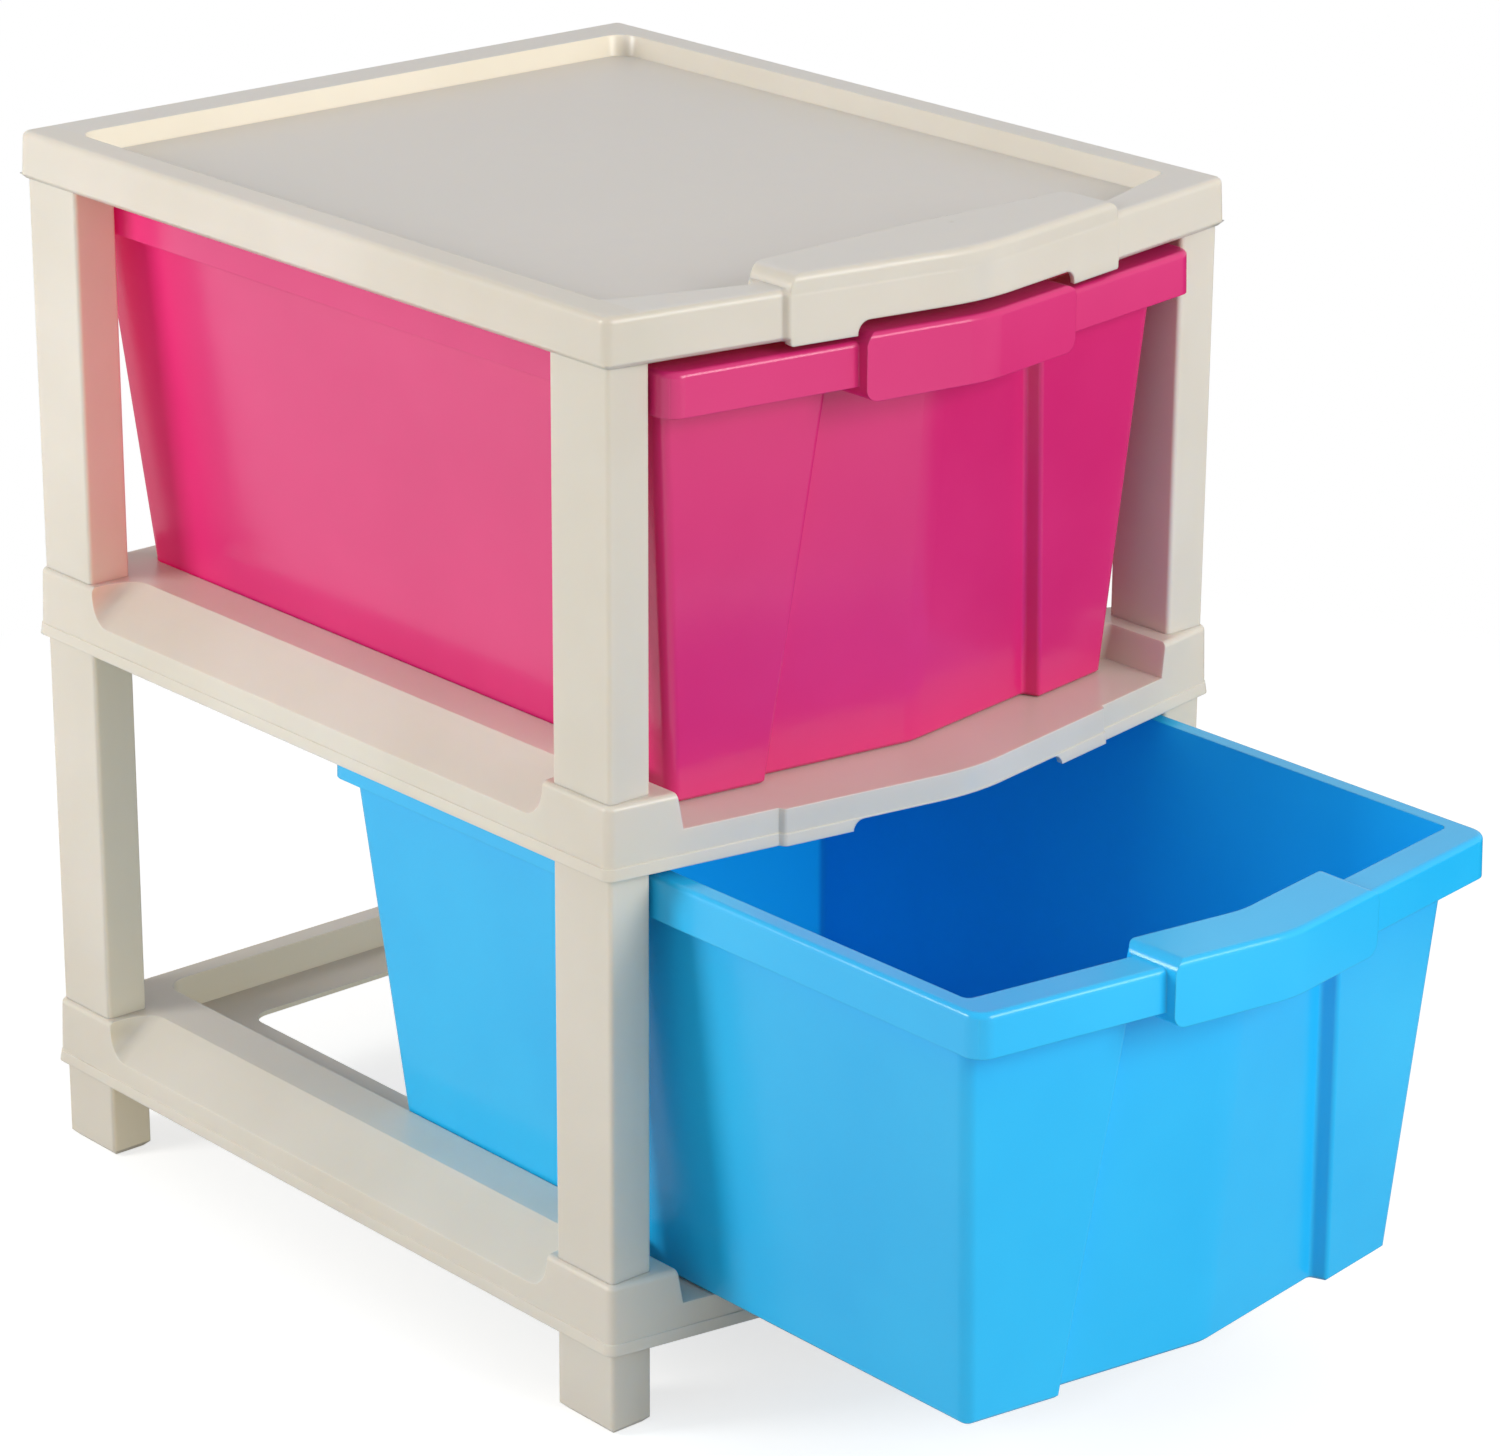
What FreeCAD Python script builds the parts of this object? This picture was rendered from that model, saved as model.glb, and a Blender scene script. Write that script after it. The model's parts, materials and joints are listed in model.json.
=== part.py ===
import FreeCAD, Part
import math
import os

from FreeCAD import Vector

# A two-storey stacking unit of moulded plastic: feet, two open trays, posts, a cover and two drawers.
# Millimetres. X runs across the unit, Y from the front (negative) to the back, Z up from the floor.
os.makedirs("parts", exist_ok=True)

# Plan of the frame, at the top edge of a tray or of the cover
frame_width = 339
frame_back = 198
frame_front = 197.5
frame_slope_share = 0.171
frame_corner_radius = 3.5
nose_radius = 100
brow_width = 180
brow_proud = 2.5
brow_step = 1.5
brow_hang = 1.5
step_radius = 1.2

# Walls and fits shared by the mouldings
wall = 2.2
fit_gap = 0.2
running_gap = 0.3
sharp_below = 0.4
overrun = 5
hair = 0.02

# Skirt of a tray or of the cover
skirt_draft = 0.8
bead_proud = 1.0
bead_height = 5
bead_bevel = 0.6
hem_bevel = 2

# Posts and feet
post_width = 21.2
post_depth = 35.6
post_radius = 2
post_height = 178
post_side_inset = 2
post_end_inset = 1.8
post_wall = 2.4
tongue_step = 1.0
tongue_wall = 1.8
spigot_wall = 2
spigot_grip = 10
sleeve_wall = 2
foot_height = 38.5
foot_floor = 3
foot_bevel = 3

# Tray
tray_height = 31
tray_edge_radius = 2.5
tray_floor_drop = 15.4
side_rail = 45.3
back_rail = 20.5
recess_corner_radius = 12
recess_draft = 1.0
gate_step = 11.4
gate_draft = 3.4
gate_length = 40.7
gate_radius = 4
rail_slope_run = 22
rail_slope_drop = 16.5
back_slope_run = 9.5
back_slope_inset = 30.5
scoop_radius = 11
floor_side_ledge = 28.2
floor_back_ledge = 26.5
floor_front_ledge = 47.5
tray_opening_radius = 10

# Cover
cover_height = 21
cover_edge_radius = 3
panel_drop = 9.5
panel_draft = 2
panel_side_land = 15
panel_back_land = 21.5
panel_front_land = 21
panel_corner_radius = 12
panel_front_radius = 6
bay_gap = 5
bay_land = 13.4
bay_radius = 3
brow_end_inset = 1
brow_end_depth = 24
brow_middle_depth = 42.5
brow_back_radius = 9
brow_rise = 6
brow_shoulder_inset = 0.5
brow_shoulder_radius = 6

# Drawer, measured from its underside; the taper runs from the underside to the skirt of its rim
drawer_wall = 2.2
drawer_floor = 2.4
drawer_corner_radius = 6
drawer_slope_share = 0.15
drawer_head_gap = 4.5
base_side_gap = 1.6
base_back_gap = 3.5
base_front_setback = 16.8
base_bevel = 1.4
pillar_base_gap = 156
pillar_top_gap = 118.8
pillar_proud = 7
pillar_step = 3
pillar_radius = 2.2
drawer_nose_radius = 40
rim_side_gap = 1.95
rim_back_gap = 2.8
rim_front_reach = 7.4
rim_side_ledge = 7.95
rim_back_ledge = 5.1
rim_front_ledge = 14.4
rim_corner_radius = 8.5
rim_nose_radius = 50
rim_skirt = 18.3
rim_wall = 2.2
rim_draft = 0.4
rim_edge_radius = 2.5
handle_width = 115
handle_proud = 5
handle_rise = 4
handle_drop = 24
handle_radius = 5.5
notch_side_gap = 2
notch_head_gap = 5
notch_radius = 5.5
lower_drawer_pull = 177

# Heights of the storeys
bottom_tray_z = foot_height
lower_post_z = bottom_tray_z + tray_height
middle_tray_z = lower_post_z + post_height
upper_post_z = middle_tray_z + tray_height
cover_z = upper_post_z + post_height

# Places and sections worked out from the sizes above
half_width = frame_width / 2
post_x = half_width - post_side_inset - post_width / 2
post_y = frame_back - post_end_inset - post_depth / 2
tongue_length = cover_height - panel_drop - wall
tongue_grow = -tongue_step
bore_grow = tongue_grow - tongue_wall
spigot_grow = bore_grow - fit_gap
spigot_length = tray_height - tongue_length + spigot_grip
tray_floor_z = tray_height - tray_floor_drop
recess_half = half_width - side_rail
recess_back = frame_back - back_rail
drawer_height = tray_floor_drop + post_height - running_gap - drawer_head_gap
skirt_z = drawer_height - rim_skirt
rim_half = half_width - post_side_inset - post_width - rim_side_gap
rim_back = frame_back - rim_back_gap
rim_front = frame_front + rim_front_reach
notch_height = handle_rise - drawer_head_gap + notch_head_gap
far = frame_front + frame_width


def inset(corners, depth):
    """Move every side of a loop of (x, y, radius) corners inwards by depth, or outwards below zero.

    Rounded corners keep a common centre, and sharp ones stay sharp.
    """
    moved_corners = []
    for index, (x, y, radius) in enumerate(corners):
        last_x, last_y, _ = corners[index - 1]
        next_x, next_y, _ = corners[(index + 1) % len(corners)]
        inward = Vector(x - last_x, y - last_y, 0).normalize()
        onward = Vector(next_x - x, next_y - y, 0).normalize()
        first = Vector(-inward.y, inward.x, 0)
        second = Vector(-onward.y, onward.x, 0)
        shift = (first + second) * (depth / (1 + first.dot(second)))
        turn = 1 if inward.cross(onward).z > 0 else -1
        new_radius = max(radius - turn * depth, 0) if radius else 0
        moved_corners.append((x + shift.x, y + shift.y, new_radius))
    return moved_corners


def plain(corners):
    """The same loop with sharp corners."""
    return [(x, y, 0) for x, y, _ in corners]


def column(low_z, low, high_z, high):
    """Solid with flat sides from one loop up to another, its upright edges rounded at each corner."""
    bottom = [Vector(x, y, low_z) for x, y, _ in low]
    top = [Vector(x, y, high_z) for x, y, _ in high]
    faces = []
    for index in range(len(low)):
        after = (index + 1) % len(low)
        side = [bottom[index], bottom[after], top[after], top[index], bottom[index]]
        faces.append(Part.Face(Part.makePolygon(side)))
    for ring in (bottom, top):
        faces.append(Part.Face(Part.makePolygon(ring + ring[:1])))
    solid = Part.makeSolid(Part.makeShell(faces))
    for radius in {radius for _, _, radius in low if radius > sharp_below}:
        uprights = []
        for start, end, (_, _, own_radius) in zip(bottom, top, low):
            if own_radius == radius:
                uprights.append(edge_between(solid, start, end))
        solid = solid.makeFillet(radius, uprights)
    return solid


def edge_between(solid, start, end):
    """The edge of a solid nearest to the line between two points."""
    middle = (start + end) / 2
    return min(solid.Edges, key=lambda edge: edge.CenterOfMass.distanceToPoint(middle))


def tower(corners, low_z, low_grow, high_z, high_grow):
    """Column of one outline, grown outwards by its own amount at each end."""
    return column(low_z, inset(corners, -low_grow), high_z, inset(corners, -high_grow))


def oblong(x, y, width, depth, radius):
    """Corners of a rounded rectangle about (x, y)."""
    return [
        (x + width / 2, y + depth / 2, radius),
        (x - width / 2, y + depth / 2, radius),
        (x - width / 2, y - depth / 2, radius),
        (x + width / 2, y - depth / 2, radius),
    ]


def gate(width, low, high, low_radius, high_radius):
    """Prism along -Y, seen from the front as a rectangle with rounded lower and upper corners."""
    corners = [
        (width / 2, high, high_radius),
        (-width / 2, high, high_radius),
        (-width / 2, low, low_radius),
        (width / 2, low, low_radius),
    ]
    prism = column(0, corners, far, corners)
    prism.rotate(Vector(0, 0, 0), Vector(1, 0, 0), 90)
    return prism


def edges_at(solid, z):
    """The edges of a solid that lie flat at height z."""
    flat = []
    for edge in solid.Edges:
        heights = [vertex.Z for vertex in edge.Vertexes] + [edge.CenterOfMass.z]
        if max(abs(height - z) for height in heights) < hair:
            flat.append(edge)
    return flat


def round_level(solid, z, radius):
    return solid.makeFillet(radius, edges_at(solid, z))


def bevel_foot(solid, corners, bevel):
    """Bevel the foot of a solid that stands on one outline."""
    high_z = bevel + bevel
    kept = tower(corners, 0, -bevel, high_z, bevel)
    return solid.cut(tower(plain(corners), 0, high_z, high_z, high_z).cut(kept))


def front_line(front, slope_share, half, x):
    """Y of a V front at x, for a front whose corners are at half and -front."""
    return -front - slope_share * (half - abs(x))


def frame_corners():
    """Top outline of a tray or of the cover, with the middle of the front standing proud."""
    brow = brow_width / 2
    outer = brow + brow_step
    outer_y = front_line(frame_front, frame_slope_share, half_width, outer)
    brow_y = front_line(frame_front, frame_slope_share, half_width, brow) - brow_proud
    nose_y = front_line(frame_front, frame_slope_share, half_width, 0) - brow_proud
    return [
        (half_width, frame_back, frame_corner_radius),
        (-half_width, frame_back, frame_corner_radius),
        (-half_width, -frame_front, frame_corner_radius),
        (-outer, outer_y, step_radius),
        (-brow, brow_y, step_radius),
        (0, nose_y, nose_radius),
        (brow, brow_y, step_radius),
        (outer, outer_y, step_radius),
        (half_width, -frame_front, frame_corner_radius),
    ]


def skirt_block(low_z, height, edge_radius):
    """Solid form of a tray or cover from low_z up: drafted sides and a rounded top edge."""
    return round_level(tower(frame_corners(), low_z, skirt_draft, height, 0), height, edge_radius)


def tray_bead():
    """Bead round the lower edge of a tray."""
    grow = skirt_draft + bead_proud
    return tower(frame_corners(), 0, grow, bead_height, grow - bead_bevel)


def cover_hem():
    """Lower edge of the cover, drawn in round the foot and deeper below the brow."""
    hem = tower(frame_corners(), 0, skirt_draft - hem_bevel, hem_bevel, skirt_draft)
    hanger = tower(frame_corners(), -brow_hang, skirt_draft, hem_bevel, skirt_draft)
    return hem.fuse(hanger.common(gate(brow_width, -brow_hang, hem_bevel, step_radius, 0)))


def skirt_core(height):
    """The hollow inside the skirt."""
    return tower(plain(frame_corners()), -overrun, skirt_draft - wall, height - wall, -wall)


def recess_tool(depth):
    """Room above a tray's floor, open at the front between the corner bosses, grown outwards by depth."""
    loops = []
    gate_end = frame_front - gate_length
    for share in (0, 1):
        half = recess_half + recess_draft * share
        gate_half = recess_half + gate_step + gate_draft * share
        back = recess_back + recess_draft * share
        mouth = gate_end + gate_half - half
        corners = [
            (half, back, recess_corner_radius),
            (-half, back, recess_corner_radius),
            (-half, -gate_end, gate_radius),
            (-gate_half, -mouth, gate_radius),
            (-gate_half, -far, 0),
            (gate_half, -far, 0),
            (gate_half, -mouth, gate_radius),
            (half, -gate_end, gate_radius),
        ]
        loops.append(inset(corners, -depth))
    return column(tray_floor_z - depth, loops[0], tray_height + overrun, loops[1])


def scoop_tool(edge, run, half_length, depth):
    """Sloping trough from a crease near the +X edge down and out through the skirt, grown by depth."""
    length = half_length + depth
    slope = math.hypot(run, rail_slope_drop)
    trough = [
        (length, far, 0),
        (-length, far, 0),
        (-length, -depth, scoop_radius + depth),
        (length, -depth, scoop_radius + depth),
    ]
    tool = column(-slope, trough, slope + slope, trough)
    tool.rotate(Vector(0, 0, 0), Vector(1, 0, 0), 90)
    tool.rotate(Vector(0, 0, 0), Vector(0, 0, 1), 90)
    tool.rotate(Vector(0, 0, 0), Vector(0, 1, 0), math.degrees(math.atan2(rail_slope_drop, run)))
    tool.translate(Vector(edge - run, 0, tray_height))
    return tool


def tray_scoops(depth):
    """The troughs that lower both side rails and the back rail between the corner bosses."""
    tools = []
    for turn in (0, 180):
        tool = scoop_tool(half_width, rail_slope_run, frame_front - gate_length, depth)
        tool.rotate(Vector(0, 0, 0), Vector(0, 0, 1), turn)
        tools.append(tool)
    back = scoop_tool(frame_back, back_slope_run, half_width - back_slope_inset, depth)
    back.rotate(Vector(0, 0, 0), Vector(0, 0, 1), 90)
    tools.append(back)
    return tools


def notch_tool():
    """Opening in the brow's lower edge for a drawer's handle."""
    width = handle_width + notch_side_gap + notch_side_gap
    tool = gate(width, -overrun, notch_height, 0, notch_radius)
    tool.translate(Vector(0, floor_front_ledge - frame_front, 0))
    return tool


def post_section(grow, low_z, high_z):
    """Square-edged length of a post's inner form, grown outwards by grow, about the Z axis."""
    return tower(oblong(0, 0, post_width, post_depth, 0), low_z, grow, high_z, grow)


def at_corners(solid):
    """Four copies of a solid, one at each post."""
    return [moved(solid, side * post_x, end * post_y, 0) for side in (-1, 1) for end in (-1, 1)]


def sleeves(height):
    """Sleeves that take the tongues of the posts or feet below."""
    return at_corners(post_section(tongue_grow + fit_gap + sleeve_wall, 0, height))


def sockets():
    return at_corners(post_section(tongue_grow + fit_gap, -overrun, tongue_length))


def spigot_holes():
    return at_corners(post_section(bore_grow, -overrun, tray_height + overrun))


def make_tray():
    """Tray: hollow skirt, scooped rails, corner bosses, a recessed floor and its centre opening."""
    block = skirt_block(0, tray_height, tray_edge_radius).fuse(tray_bead())
    block = block.cut([recess_tool(0)] + tray_scoops(0))
    core = skirt_core(tray_height).cut([recess_tool(wall)] + tray_scoops(wall))
    half = recess_half - floor_side_ledge
    back = recess_back - floor_back_ledge
    front = frame_front - floor_front_ledge
    opening = oblong(0, (back - front) / 2, half + half, back + front, tray_opening_radius)
    hole = tower(opening, -overrun, 0, tray_height + overrun, 0)
    inside = [sleeve.common(block) for sleeve in sleeves(tray_height)]
    tray = block.cut(core).fuse(inside)
    return tray.cut([hole, notch_tool()] + sockets() + spigot_holes()).removeSplitter()


def panel_tool(depth):
    """Room above the cover's panel, grown outwards by depth and wider towards the top."""
    half = half_width - panel_side_land
    bay = brow_width / 2 + bay_gap
    bay_y = front_line(frame_front, frame_slope_share, half_width, bay) + bay_land
    end = brow_width / 2 - brow_end_inset
    end_y = front_line(frame_front, frame_slope_share, half_width, end) + brow_end_depth
    middle_y = front_line(frame_front, frame_slope_share, half_width, 0) + brow_middle_depth
    front = frame_front - panel_front_land
    corners = [
        (half, frame_back - panel_back_land, panel_corner_radius),
        (-half, frame_back - panel_back_land, panel_corner_radius),
        (-half, -front, panel_front_radius),
        (-bay, bay_y, bay_radius),
        (-end, end_y, brow_back_radius),
        (0, middle_y, 0),
        (end, end_y, brow_back_radius),
        (bay, bay_y, bay_radius),
        (half, -front, panel_front_radius),
    ]
    low_z = cover_height - panel_drop
    high_z = cover_height + brow_rise + overrun
    spread = panel_draft * (high_z - cover_height) / panel_drop
    return tower(corners, low_z - depth, depth - panel_draft, high_z, depth + spread)


def ridge(depth, edge_radius):
    """The part of the brow that stands above the cover's rim, moved inwards by depth."""
    top = cover_height + brow_rise - depth
    rise = tower(frame_corners(), bead_height, -depth, top, -depth)
    if edge_radius:
        rise = round_level(rise, top, edge_radius)
    side = brow_shoulder_inset + depth
    width = brow_width - side - side
    return rise.common(gate(width, bead_height, top, 0, brow_shoulder_radius - depth))


def make_cover():
    """Cover: hollow skirt, sunk panel and a brow that stands above the rim."""
    block = skirt_block(hem_bevel, cover_height, cover_edge_radius)
    block = block.fuse([cover_hem(), ridge(0, cover_edge_radius)]).cut(panel_tool(0))
    core = skirt_core(cover_height).fuse(ridge(wall, 0)).cut(panel_tool(wall))
    inside = [sleeve.common(block) for sleeve in sleeves(cover_height)]
    return block.cut(core).fuse(inside).cut([notch_tool()] + sockets()).removeSplitter()


def post_tube(height):
    """Outer form of a post or foot with its tongue, about the Z axis."""
    shaft = tower(oblong(0, 0, post_width, post_depth, post_radius), 0, 0, height, 0)
    return shaft.fuse(post_section(tongue_grow, height - overrun, height + tongue_length))


def make_post():
    """Post: a tube with a tongue above its upper shoulder and a spigot below its lower one."""
    spigot = post_section(spigot_grow, -spigot_length, post_wall)
    bore = post_section(bore_grow, post_wall, post_height + tongue_length + overrun)
    throat = post_section(spigot_grow - spigot_wall, -spigot_length - overrun, post_wall + overrun)
    return post_tube(post_height).fuse(spigot).cut([bore, throat]).removeSplitter()


def make_foot():
    """Foot: a short post with a closed, bevelled base."""
    bore = post_section(bore_grow, foot_floor, foot_height + tongue_length + overrun)
    base = tower(oblong(0, 0, post_width, post_depth, 0), 0, -foot_bevel, foot_bevel, 0)
    upper = post_section(0, foot_bevel, foot_height + tongue_length)
    return post_tube(foot_height).common(base.fuse(upper)).cut(bore).removeSplitter()


def drawer_corners(z):
    """Outline of the tapering box at height z, with the middle of the front set back."""
    share = z / skirt_z

    def between(base, top):
        return base + (top - base) * share

    half = between(recess_half - base_side_gap, rim_half - rim_side_ledge)
    back = between(recess_back - base_back_gap, rim_back - rim_back_ledge)
    front = between(frame_front - base_front_setback, rim_front - rim_front_ledge)
    pillar = between(pillar_base_gap, pillar_top_gap) / 2
    panel = pillar - pillar_step
    pillar_y = front_line(front, drawer_slope_share, half, pillar)
    panel_y = pillar_y + pillar_proud
    nose_y = panel_y - drawer_slope_share * panel
    return [
        (half, back, drawer_corner_radius),
        (-half, back, drawer_corner_radius),
        (-half, -front, drawer_corner_radius),
        (-pillar, pillar_y, pillar_radius),
        (-panel, panel_y, pillar_radius),
        (0, nose_y, drawer_nose_radius),
        (panel, panel_y, pillar_radius),
        (pillar, pillar_y, pillar_radius),
        (half, -front, drawer_corner_radius),
    ]


def rim_corners():
    nose_y = front_line(rim_front, drawer_slope_share, rim_half, 0)
    return [
        (rim_half, rim_back, rim_corner_radius),
        (-rim_half, rim_back, rim_corner_radius),
        (-rim_half, -rim_front, rim_corner_radius),
        (0, nose_y, rim_nose_radius),
        (rim_half, -rim_front, rim_corner_radius),
    ]


def make_rim():
    """Turned-down rim: a collar round the mouth of the drawer with a groove below it."""
    rim = rim_corners()
    collar = tower(rim, skirt_z, rim_draft, drawer_height, 0)
    groove = tower(plain(rim), skirt_z - overrun, rim_draft - rim_wall, drawer_height - rim_wall, -rim_wall)
    return round_level(collar, drawer_height, rim_edge_radius).cut(groove)


def handle_form(depth, low_z, edge_radius):
    """Bow along the middle of the rim's front, moved inwards by depth and open below if depth is not zero."""
    top = drawer_height + handle_rise - depth
    bow = tower(rim_corners(), low_z, handle_proud - depth, top, handle_proud - depth)
    if edge_radius:
        bow = round_level(bow, top, edge_radius)
    low_radius = 0 if depth else handle_radius
    width = handle_width - depth - depth
    return bow.common(gate(width, low_z, top, low_radius, handle_radius - depth))


def make_drawer():
    """Drawer: a tapering box with a turned-down rim and a hollow handle moulded to its front."""
    box = column(0, drawer_corners(0), drawer_height, drawer_corners(drawer_height))
    box = bevel_foot(box, drawer_corners(0), base_bevel)
    floor = inset(drawer_corners(drawer_floor), drawer_wall)
    mouth = inset(drawer_corners(drawer_height + overrun), drawer_wall)
    room = column(drawer_floor, floor, drawer_height + overrun, mouth)
    low_z = drawer_height - handle_drop
    handle = handle_form(0, low_z, rim_edge_radius)
    hollow = handle_form(drawer_wall, low_z - overrun, 0).cut(box)
    return make_rim().fuse([box, handle]).cut([hollow, room]).removeSplitter()


def moved(shape, x, y, z):
    copy = shape.copy()
    copy.translate(Vector(x, y, z))
    return copy


def build():
    """Every piece in place, by node name."""
    tray = make_tray()
    post = make_post()
    foot = make_foot()
    drawer = make_drawer()
    pieces = {
        "bottom_tray": moved(tray, 0, 0, bottom_tray_z),
        "middle_tray": moved(tray, 0, 0, middle_tray_z),
        "top_cover": moved(make_cover(), 0, 0, cover_z),
    }
    for end, y in (("front", -post_y), ("rear", post_y)):
        for side, x in (("left", -post_x), ("right", post_x)):
            pieces[f"{end}_{side}_foot"] = moved(foot, x, y, 0)
            pieces[f"lower_{end}_{side}_post"] = moved(post, x, y, lower_post_z)
            pieces[f"upper_{end}_{side}_post"] = moved(post, x, y, upper_post_z)
    seat = tray_floor_z + running_gap
    pieces["upper_drawer"] = moved(drawer, 0, 0, middle_tray_z + seat)
    pieces["lower_drawer"] = moved(drawer, 0, -lower_drawer_pull, bottom_tray_z + seat)
    return pieces


pieces = build()
whole = Part.makeCompound(list(pieces.values())).optimalBoundingBox()
middle_y = (whole.YMin + whole.YMax) / 2
for name, piece in pieces.items():
    moved(piece, 0, -middle_y, 0).exportStep(f"parts/{name}.step")
    print(name, len(piece.Solids), piece.isValid(), round(piece.Volume))
print("depth", whole.YMin, whole.YMax, "middle", middle_y)
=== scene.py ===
import json
import math

import bpy
from mathutils import Matrix, Vector


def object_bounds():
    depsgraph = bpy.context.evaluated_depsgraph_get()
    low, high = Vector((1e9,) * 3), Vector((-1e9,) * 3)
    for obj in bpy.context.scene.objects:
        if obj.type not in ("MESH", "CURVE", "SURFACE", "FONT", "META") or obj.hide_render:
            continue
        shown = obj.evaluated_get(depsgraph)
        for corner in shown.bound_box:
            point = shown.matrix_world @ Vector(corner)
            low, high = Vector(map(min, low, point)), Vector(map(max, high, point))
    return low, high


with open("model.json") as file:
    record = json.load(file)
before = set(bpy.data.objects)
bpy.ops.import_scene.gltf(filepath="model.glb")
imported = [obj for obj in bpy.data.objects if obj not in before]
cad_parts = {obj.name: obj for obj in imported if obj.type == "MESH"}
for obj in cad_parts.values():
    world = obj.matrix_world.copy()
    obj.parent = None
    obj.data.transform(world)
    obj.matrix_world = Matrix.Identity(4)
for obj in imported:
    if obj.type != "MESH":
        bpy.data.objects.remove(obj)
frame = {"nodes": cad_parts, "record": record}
cad_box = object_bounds()


def box_of(name):
    """Lowest and highest corner of a piece in its own coordinates."""
    corners = [Vector(corner) for corner in frame["nodes"][name].bound_box]
    return Vector(map(min, zip(*corners))), Vector(map(max, zip(*corners)))


# Camera: its place in metres, its direction and roll in degrees, its lens and film width in
# millimetres
camera_place = Vector((-1.35860, -1.51756, 0.99814))
camera_azimuth = -41.5759
camera_elevation = 20.2895
camera_roll = 0.3118
camera_lens = 121.78
sensor_width = 36

# Edges: the radius that they seem to have, in metres, and the turn at which one starts and is
# full, as the cosine between the rounded face and the flat one; the lift, in levels, and its share
# paint a highlight along them, and the polish makes them less rough
edge_radius = 0.0006
cover_edge_radius = 0.0014
edge_samples = 4
edge_start = 0.995
edge_full = 0.82
painted_edge_highlight = 24
painted_edge_highlight_share = 0.5
edge_polish = 0.06

# Relief of the mouldings: sizes and depths in metres, strengths as shares
flow_size = 0.035
flow_stretch = 0.18
flow_distortion = 0.8
flow_depth = 0.00025
flow_strength = 0.18
grain_size = 0.0006
grain_depth = 0.000008
grain_strength = 0.2

# Drift of the tone from the light colour to the deep one, and cloudy roughness
drift_scale = 0.3 / flow_size
drift_low = 0.32
drift_high = 0.68
cloud_size = 0.012
cloud_low = 0.3
cloud_high = 0.7
roughness_dip = 0.02
roughness_rise = 0.03

# Polypropylene: how rough each moulding is, how strongly it bends light, and the share of light
# that goes into the cream one and how far it travels there in red, green and blue, in metres
cream_roughness = 0.30
pink_roughness = 0.21
blue_roughness = 0.22
refraction = 1.49
cream_scatter = 0.4
scatter_depth = (0.006, 0.0045, 0.003)

# The cover's upward faces, by the height of their normal, are satin and painted slightly greyer as
# shade, less so on its left land, which is painted as lit like the sides, and in clouds; its brow
# has a gate mark, placed from the cover's middle, front and top
cover_low, cover_high = box_of("top_cover")
upward_low = 0.80
upward_high = 0.95
satin_roughness = 0.04
shade_cloud_share = 0.8
land_width = 0.0158
land_reach = 0.001
land_satin_and_shade_share = 0.5
left_land = cover_low.x + land_width
gate_aside = 0.014
gate_behind = 0.0342
gate_place = (gate_aside, cover_low.y + gate_behind, cover_high.z)
gate_radius = 0.0014
gate_depth = 0.0004
gate_share = 0.5

# Colours as they look, from 0 to 255
cream_light = (225, 217, 204)
cream_deep = (216, 208, 193)
# The grey below is painted shade for the cover's upward faces
panel_shade_grey = (221, 216, 209)
pink_light = (224, 49, 122)
pink_deep = (216, 40, 115)
# The inner and back colours below paint the glow inside the pink drawer
pink_inner = (190, 8, 60)
pink_back = (235, 30, 100)
blue_light = (42, 196, 254)
blue_deep = (34, 188, 250)
# The inner and back colours below paint the glow inside the blue drawer
blue_inner = (0, 150, 215)
blue_back = (0, 170, 240)
# The two colours below paint the glow of light through the cream walls
through_warm = (255, 239, 196)
through_pink = (255, 176, 140)
floor_grey = (188, 188, 186)
# Black below paints the floor's dark reflection far to the right
black = (0, 0, 0)
white = (255, 255, 255)

# Faces that look to the front, by the part of their normal along the depth
frontal_start = -0.6
frontal_full = -0.95

# Painted light: a glow inside a drawer stands in for light that comes through its walls and falls
# in
# from the front: its strength on the side walls in the front third and on the back wall, how far
# behind the middle a face counts as inner, and the run over which it grows, in metres
inner_strength = 0.24
back_strength = 0.22
inner_reach = 0.03
inner_run = 0.14

# The same painted glow fills the shade that the rear post casts on the left face of the upper
# drawer, by the part of its normal across and its place along the depth
sideways_start = -0.5
sideways_full = -0.9
shaded_strength = 0.32
shaded_start = 0.215
shaded_full = 0.275

# Painted light: a glow stands in for light from behind that comes warm through the thin cream walls
# at the rear, on their faces towards the front, and is tinted by the pink drawer on the posts
# beside it
through_strength = 0.2
through_start = cover_high.y - 0.113
through_full = cover_high.y - 0.053
pink_level = box_of("middle_tray")[0].z + 0.0075
pink_reach = 0.01

# Floor: its size and its fade to plain white in spans of the object, and the glow that lifts it
# to white
floor_spans = 40
fade_start = 0.5
fade_full = 1.1
floor_lift = 0.70
floor_grain_scale = 30.0
floor_grain_share = 0.1

# Painted reflections: the floor as the glossy faces mirror it is painted bright at the left and far
# in front and dark far to the right, with the places where the last two start and are full
left_sheen = 1.1
front_sheen = 0.75
front_sheen_start = -0.87
front_sheen_full = -0.95
right_dark_start = 0.45
right_dark_full = 0.65

# Strength of the light from all round, on surfaces and in their reflections
ambient_strength = 0.5
mirrored_strength = 0.8


def colour(levels):
    """Scene colour of a screen colour given from 0 to 255."""
    shares = [level / 255 for level in levels]
    linear = [s / 12.92 if s <= 0.04045 else ((s + 0.055) / 1.055) ** 2.4 for s in shares]
    return (*linear, 1)


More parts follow.
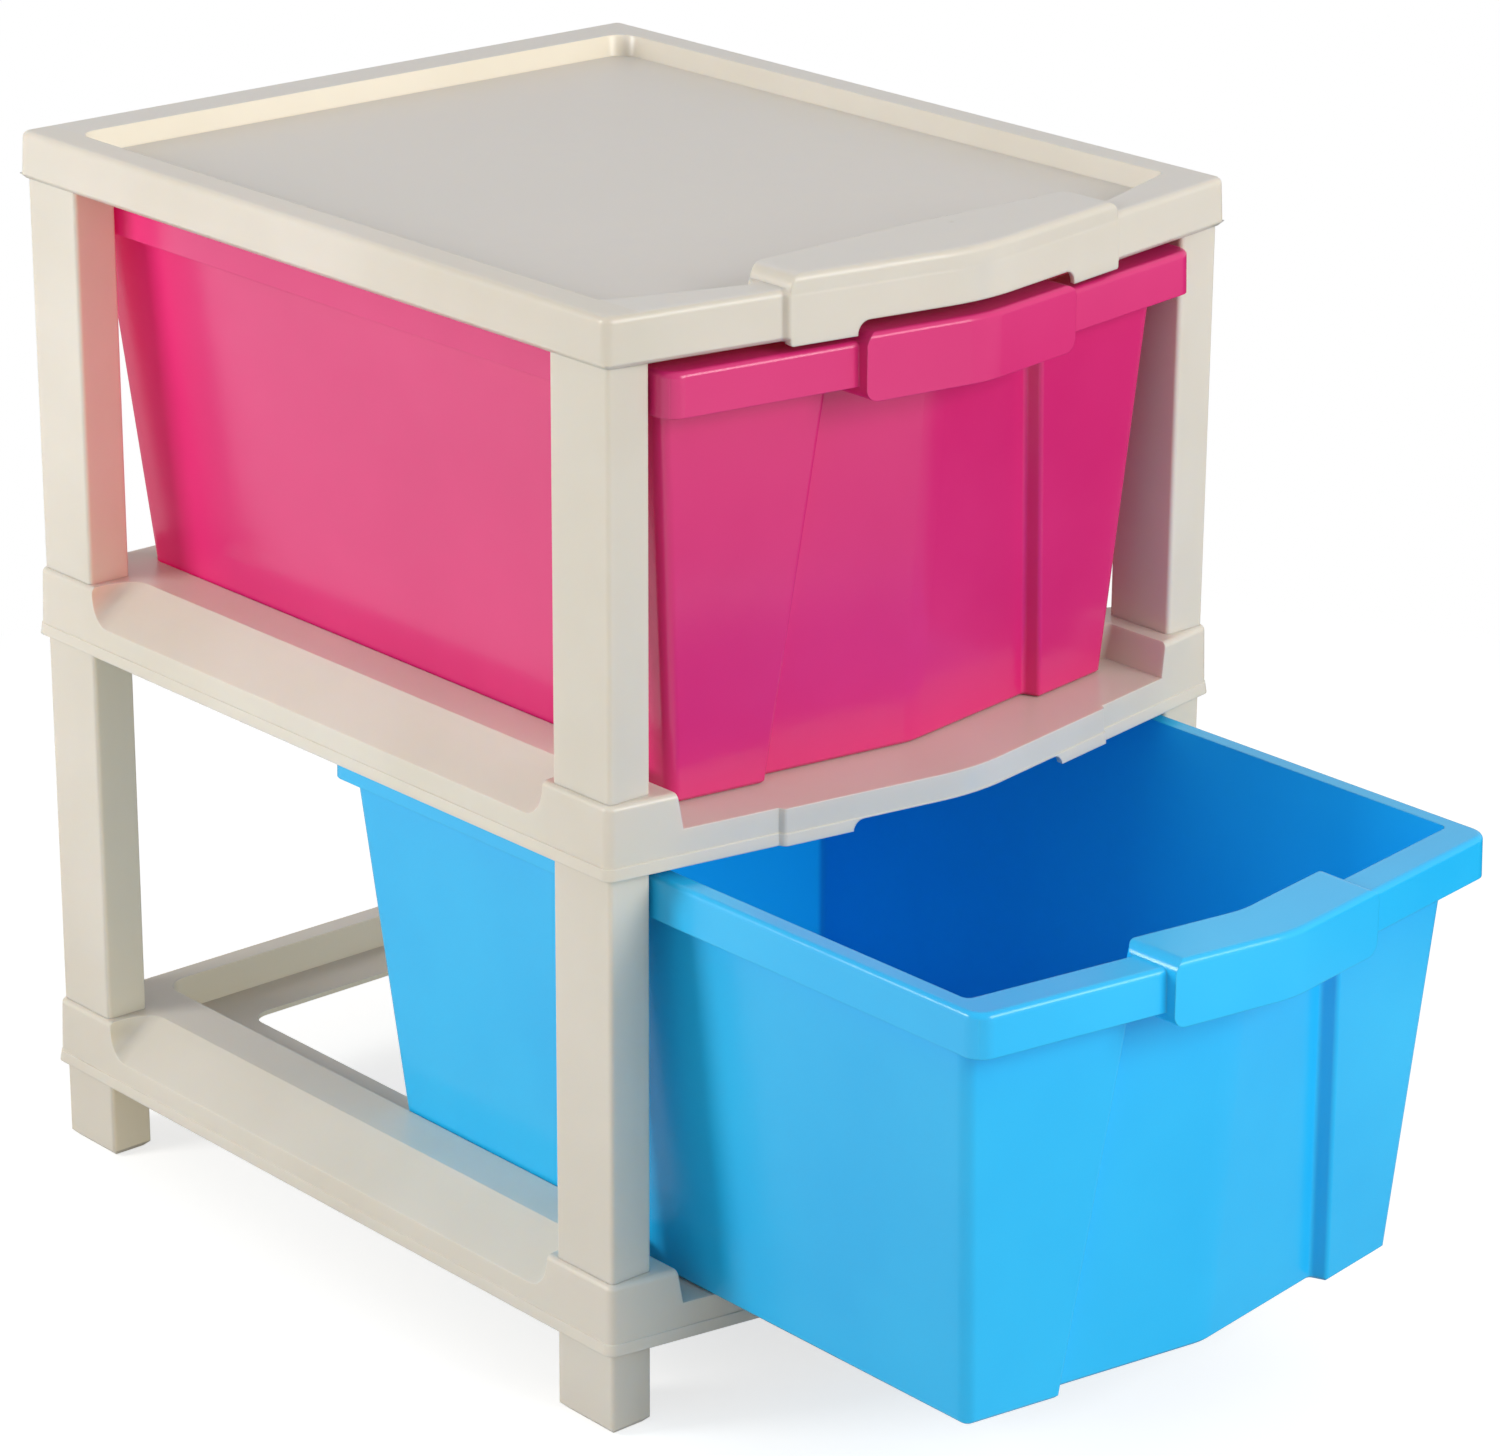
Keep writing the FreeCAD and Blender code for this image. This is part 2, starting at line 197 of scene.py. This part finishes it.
class Graph:
    """Short way to build a node tree; a value may be a number, a colour or a node's socket."""

    def __init__(self, tree):
        self.nodes = tree.nodes
        self.links = tree.links
        self.nodes.clear()

    def put(self, value, socket):
        if isinstance(value, bpy.types.NodeSocket):
            self.links.new(value, socket)
        else:
            socket.default_value = value

    def add(self, kind, settings=None, **inputs):
        node = self.nodes.new(kind)
        for name, value in (settings or {}).items():
            setattr(node, name, value)
        for name, value in inputs.items():
            self.put(value, node.inputs[name.replace("_", " ")])
        return node

    def pair(self, kind, operation, first, second):
        """Node of two values that is set by its operation."""
        node = self.add(kind, {"operation": operation})
        self.put(first, node.inputs[0])
        self.put(second, node.inputs[1])
        return node

    def math(self, operation, first, second):
        return self.pair("ShaderNodeMath", operation, first, second).outputs[0]

    def vector(self, operation, first, second):
        return self.pair("ShaderNodeVectorMath", operation, first, second)

    def along(self, axis, vector):
        return self.add("ShaderNodeSeparateXYZ", Vector=vector).outputs[axis]

    def noise(self, place, scale, detail=2.0, **inputs):
        node = self.add("ShaderNodeTexNoise", Vector=place, Scale=scale, Detail=detail, **inputs)
        return node.outputs["Fac"]

    def ramp(self, value, low, high, start, end):
        limits = {"From_Min": low, "From_Max": high, "To_Min": start, "To_Max": end}
        return self.add("ShaderNodeMapRange", Value=value, **limits).outputs["Result"]

    def blend(self, share, first, second):
        node = self.add("ShaderNodeMix", {"data_type": "RGBA"})
        self.put(share, node.inputs["Factor"])
        self.put(first, node.inputs[6])
        self.put(second, node.inputs[7])
        return node.outputs[2]

    def bump(self, height, depth, strength, normal):
        relief = {"Height": height, "Distance": depth, "Strength": strength, "Normal": normal}
        return self.add("ShaderNodeBump", **relief).outputs[0]


def near_point(graph, place, point, radius):
    """1 at a point and 0 from one radius away."""
    away = graph.vector("DISTANCE", place, point).outputs["Value"]
    return graph.ramp(away, 0, radius, 1, 0)


def upward(graph, facing):
    """1 on faces that look up and 0 on upright ones."""
    return graph.ramp(graph.along("Z", facing), upward_low, upward_high, 0, 1)


def frontal(graph, facing):
    """1 on faces that look to the front and 0 on those that look aside or back."""
    return graph.ramp(graph.along("Y", facing), frontal_start, frontal_full, 0, 1)


def inside(graph, place, facing, middle):
    """1 on walls that face the middle of a drawer and 0 on its outer faces."""
    outward = graph.vector("SUBTRACT", place, middle).outputs["Vector"]
    turned = graph.vector("DOT_PRODUCT", outward, facing).outputs["Value"]
    return graph.ramp(turned, -inner_reach, 0, 1, 0)


def beside_rear_post(graph, place, facing):
    """1 on the upper drawer's left face where the rear post shades it, and 0 further forward."""
    near = graph.ramp(graph.along("Y", place), shaded_start, shaded_full, 0, 1)
    turned = graph.ramp(graph.along("X", facing), sideways_start, sideways_full, 0, 1)
    return graph.math("MULTIPLY", near, turned)


def painted_drawer_glow(graph, place, facing, drawer, inner, back):
    """Strength and colour of the painted glow standing in for light through a drawer's walls and
    light falling in, in its front third and back.
    """
    low, high = box_of(drawer)
    middle = (low + high) / 2
    forward = graph.ramp(graph.along("Y", place), middle.y, middle.y - inner_run, 0, 1)
    front = frontal(graph, facing)
    side = graph.math("MULTIPLY", forward, inner_strength)
    strength = graph.ramp(front, 0, 1, side, back_strength)
    strength = graph.math("MULTIPLY", inside(graph, place, facing, middle), strength)
    # Painted light fills the rear post's shade on the drawer's left face
    shaded = beside_rear_post(graph, place, facing)
    strength = graph.math("MAXIMUM", strength, graph.math("MULTIPLY", shaded, shaded_strength))
    share = graph.math("MAXIMUM", front, shaded)
    return strength, graph.blend(share, colour(inner), colour(back))


def painted_frame_glow(graph, place, facing):
    """Strength of the painted glow standing in for light through the cream walls, on front faces at
    the rear of the frame.
    """
    rear = graph.ramp(graph.along("Y", place), through_start, through_full, 0, 1)
    strength = graph.ramp(frontal(graph, facing), 0, 1, 0, through_strength)
    return graph.math("MULTIPLY", rear, strength)


def beside_pink(graph, place):
    """Colour of the painted glow through the frame: warm, and tinted above the middle tray."""
    upper = graph.ramp(graph.along("Z", place), pink_level, pink_level + pink_reach, 0, 1)
    return graph.blend(upper, colour(through_warm), colour(through_pink))


class Moulding:
    """Moulded polypropylene: soft tonal drift, faint flow marks, fine grain, and polished edges
    with a painted highlight.
    """

    def __init__(self, name, light, deep, rough, radius=edge_radius):
        self.material = bpy.data.materials.new(name)
        self.material.use_nodes = True
        self.graph = Graph(self.material.node_tree)
        graph = self.graph
        self.place = graph.add("ShaderNodeTexCoord").outputs["Object"]
        self.facing = graph.add("ShaderNodeNewGeometry").outputs["Normal"]
        self.cloud = graph.noise(self.place, 1 / cloud_size, detail=4.0)

        bevel = graph.add("ShaderNodeBevel", {"samples": edge_samples}, Radius=radius)
        rounded = bevel.outputs["Normal"]
        alike = graph.vector("DOT_PRODUCT", rounded, self.facing).outputs["Value"]
        edge = graph.ramp(alike, edge_start, edge_full, 0, 1)

        drift = graph.noise(self.place, drift_scale, detail=3.0)
        drift = graph.ramp(drift, drift_low, drift_high, 0, 1)
        # Painted highlight: a lighter colour along the edges
        highlighted_colour = tuple(min(level + painted_edge_highlight, 255) for level in light)
        tone = graph.blend(drift, colour(light), colour(deep))
        self.tone = graph.blend(graph.math("MULTIPLY", edge, painted_edge_highlight_share), tone, colour(highlighted_colour))

        low, high = rough - roughness_dip, rough + roughness_rise
        roughness = graph.ramp(self.cloud, cloud_low, cloud_high, low, high)
        polish = graph.math("MULTIPLY", edge, edge_polish)
        self.roughness = graph.math("SUBTRACT", roughness, polish)

        streaks = graph.add("ShaderNodeMapping", Vector=self.place, Scale=(1, 1, flow_stretch))
        flow = graph.noise(streaks.outputs["Vector"], 1 / flow_size, Distortion=flow_distortion)
        waved = graph.bump(flow, flow_depth, flow_strength, rounded)
        grain = graph.noise(self.place, 1 / grain_size)
        self.normal = graph.bump(grain, grain_depth, grain_strength, waved)

    def finish(self, strength, tint, scatter=0.0):
        """Close the material with its glow and the share of light that goes into it."""
        shader = self.graph.add(
            "ShaderNodeBsdfPrincipled",
            Base_Color=self.tone,
            Roughness=self.roughness,
            Normal=self.normal,
            IOR=refraction,
            Subsurface_Weight=scatter,
            Subsurface_Radius=scatter_depth,
            Subsurface_Scale=1.0,
            Emission_Color=tint,
            Emission_Strength=strength,
        )
        self.graph.add("ShaderNodeOutputMaterial", Surface=shader.outputs[0])
        return self.material


def drawer_plastic(name, light, deep, rough, drawer, inner, back):
    """Plastic of a drawer, whose inside has a painted glow standing in for light through its walls
    and light falling in.
    """
    moulding = Moulding(name, light, deep, rough)
    glow = painted_drawer_glow(moulding.graph, moulding.place, moulding.facing, drawer, inner, back)
    return moulding.finish(*glow)


def frame_plastic():
    """Cream plastic of the posts, trays and feet, with a painted glow at the rear."""
    moulding = Moulding("cream_moulding", cream_light, cream_deep, cream_roughness)
    graph = moulding.graph
    strength = painted_frame_glow(graph, moulding.place, moulding.facing)
    return moulding.finish(strength, beside_pink(graph, moulding.place), cream_scatter)


def cover_plastic():
    """Cream plastic of the cover, with satin upward faces painted greyer as shade, softer edges, a
    gate mark and a painted glow at the rear.
    """
    moulding = Moulding(
        "cream_cover_moulding", cream_light, cream_deep, cream_roughness, cover_edge_radius
    )
    graph = moulding.graph
    across = graph.along("X", moulding.place)
    satin_and_shade = graph.ramp(across, left_land, left_land + land_reach, land_satin_and_shade_share, 1)
    satin_and_shade = graph.math("MULTIPLY", satin_and_shade, upward(graph, moulding.facing))
    clouded = graph.ramp(moulding.cloud, cloud_low, cloud_high, shade_cloud_share, 1)
    painted_shade_share = graph.math("MULTIPLY", satin_and_shade, clouded)
    # Painted shade: upward faces turn greyer
    tone = graph.blend(painted_shade_share, moulding.tone, colour(panel_shade_grey))
    matter = graph.math("MULTIPLY", satin_and_shade, satin_roughness)
    moulding.roughness = graph.math("ADD", moulding.roughness, matter)

    gate = near_point(graph, moulding.place, gate_place, gate_radius)
    moulding.tone = graph.blend(graph.math("MULTIPLY", gate, gate_share), tone, colour(cream_deep))
    moulding.normal = graph.bump(gate, gate_depth, 1.0, moulding.normal)
    strength = painted_frame_glow(graph, moulding.place, moulding.facing)
    return moulding.finish(strength, colour(through_warm), cream_scatter)


def dress_nodes():
    """Give every moulding its finish."""
    finishes = {
        "cream_plastic": frame_plastic(),
        "pink_plastic": drawer_plastic(
            "pink_moulding",
            pink_light,
            pink_deep,
            pink_roughness,
            "upper_drawer",
            pink_inner,
            pink_back,
        ),
        "blue_plastic": drawer_plastic(
            "blue_moulding",
            blue_light,
            blue_deep,
            blue_roughness,
            "lower_drawer",
            blue_inner,
            blue_back,
        ),
    }
    cover_finish = cover_plastic()
    slots = {part["node"]: part["material_slot"] for part in frame["record"]["subparts"]}
    for name, node in frame["nodes"].items():
        finish = cover_finish if name == "top_cover" else finishes[slots[name]]
        for slot in node.material_slots:
            slot.material = finish


def floor_finish(span):
    """Pale matt floor that fades to plain white; in mirrored rays it is painted bright and dark, as
    painted reflections on the glossy faces.
    """
    material = bpy.data.materials.new("floor_white")
    material.use_nodes = True
    graph = Graph(material.node_tree)
    place = graph.add("ShaderNodeTexCoord").outputs["Object"]
    rays = graph.add("ShaderNodeLightPath").outputs
    seen = rays["Is Camera Ray"]
    mirrored = rays["Is Glossy Ray"]
    across = graph.along("X", place)

    # Painted reflection: bright in mirrored rays at the left and far in front
    left = graph.ramp(across, 0, -span, 0, left_sheen)
    ahead = graph.ramp(graph.along("Y", place), front_sheen_start, front_sheen_full, 0, front_sheen)
    sheen = graph.math("MULTIPLY", graph.math("MAXIMUM", left, ahead), mirrored)
    # Painted reflection: dark in mirrored rays far to the right
    painted_dark_reflection = graph.ramp(across, right_dark_start, right_dark_full, 0, 1)
    painted_dark_reflection = graph.math("MULTIPLY", painted_dark_reflection, mirrored)

    grain = graph.math("MULTIPLY", graph.noise(place, floor_grain_scale), floor_grain_share)
    tone = graph.blend(grain, colour(floor_grey), colour(cream_light))
    tone = graph.blend(painted_dark_reflection, tone, colour(black))
    matt = graph.add("ShaderNodeBsdfDiffuse", Color=tone)
    strength = graph.math("ADD", graph.math("MULTIPLY", seen, floor_lift), sheen)
    lift = graph.add("ShaderNodeEmission", Strength=strength)
    lit = graph.add("ShaderNodeAddShader")
    graph.put(matt.outputs[0], lit.inputs[0])
    graph.put(lift.outputs[0], lit.inputs[1])

    away = graph.vector("LENGTH", place, (0, 0, 0)).outputs["Value"]
    far = graph.ramp(away, span * fade_start, span * fade_full, 0, 1)
    plain = graph.add("ShaderNodeEmission", Color=colour(white), Strength=1.0)
    mixed = graph.add("ShaderNodeMixShader")
    graph.put(graph.math("MULTIPLY", far, seen), mixed.inputs[0])
    graph.put(lit.outputs[0], mixed.inputs[1])
    graph.put(plain.outputs[0], mixed.inputs[2])
    graph.add("ShaderNodeOutputMaterial", Surface=mixed.outputs[0])
    return material


def make_floor():
    """Pale floor that keeps the soft shadow near the object."""
    low, high = cad_box
    span = (high - low).length
    bpy.ops.mesh.primitive_plane_add(size=span * floor_spans, location=(0, 0, 0))
    floor = bpy.context.object
    floor.name = "studio_floor"
    floor.data.materials.append(floor_finish(span))


def make_world():
    """Even studio light from all round, with plain white behind the object."""
    world = bpy.data.worlds.new("studio")
    world.use_nodes = True
    bpy.context.scene.world = world
    graph = Graph(world.node_tree)
    rays = graph.add("ShaderNodeLightPath").outputs
    reflected = graph.ramp(rays["Is Glossy Ray"], 0, 1, ambient_strength, mirrored_strength)
    strength = graph.math("MAXIMUM", rays["Is Camera Ray"], reflected)
    light = graph.add("ShaderNodeBackground", Color=colour(white), Strength=strength)
    graph.add("ShaderNodeOutputWorld", Surface=light.outputs[0])


def backwards(azimuth, elevation):
    """Direction to a viewer, from degrees round from the front and degrees above level."""
    turn = math.radians(azimuth)
    tilt = math.radians(elevation)
    level = math.cos(tilt)
    return Vector((math.sin(turn) * level, -math.cos(turn) * level, math.sin(tilt)))


def soft_light(name, azimuth, elevation, distance, size, power):
    """Square soft box aimed at the middle of the object."""
    low, high = cad_box
    back = backwards(azimuth, elevation)
    data = bpy.data.lights.new(name, "AREA")
    data.energy = power
    data.size = size
    light = bpy.data.objects.new(name, data)
    light.location = (low + high) / 2 + back * distance
    light.rotation_mode = "QUATERNION"
    light.rotation_quaternion = (-back).to_track_quat("-Z", "Y")
    bpy.context.scene.collection.objects.link(light)


def make_lights():
    """Key light from the front right and a smaller one from behind on the left, both low."""
    soft_light("key_light", azimuth=12, elevation=22, distance=2.4, size=1.2, power=32.5)
    soft_light("side_light", azimuth=-116, elevation=18, distance=2.0, size=0.6, power=19.4)


def make_camera():
    """Camera at the place, angle and lens of the photograph."""
    back = backwards(camera_azimuth, camera_elevation)
    right = Vector((0, 0, 1)).cross(back).normalized()
    up = back.cross(right)
    turn = Matrix((right, up, back)).transposed().to_4x4()
    roll = Matrix.Rotation(math.radians(camera_roll), 4, "Z")
    data = bpy.data.cameras.new("photo_camera")
    data.lens = camera_lens
    data.sensor_width = sensor_width
    camera = bpy.data.objects.new("photo_camera", data)
    camera.matrix_world = Matrix.Translation(camera_place) @ turn @ roll
    bpy.context.scene.collection.objects.link(camera)
    bpy.context.scene.camera = camera


dress_nodes()
make_floor()
make_world()
make_lights()
make_camera()
bpy.context.scene.view_settings.view_transform = "Standard"
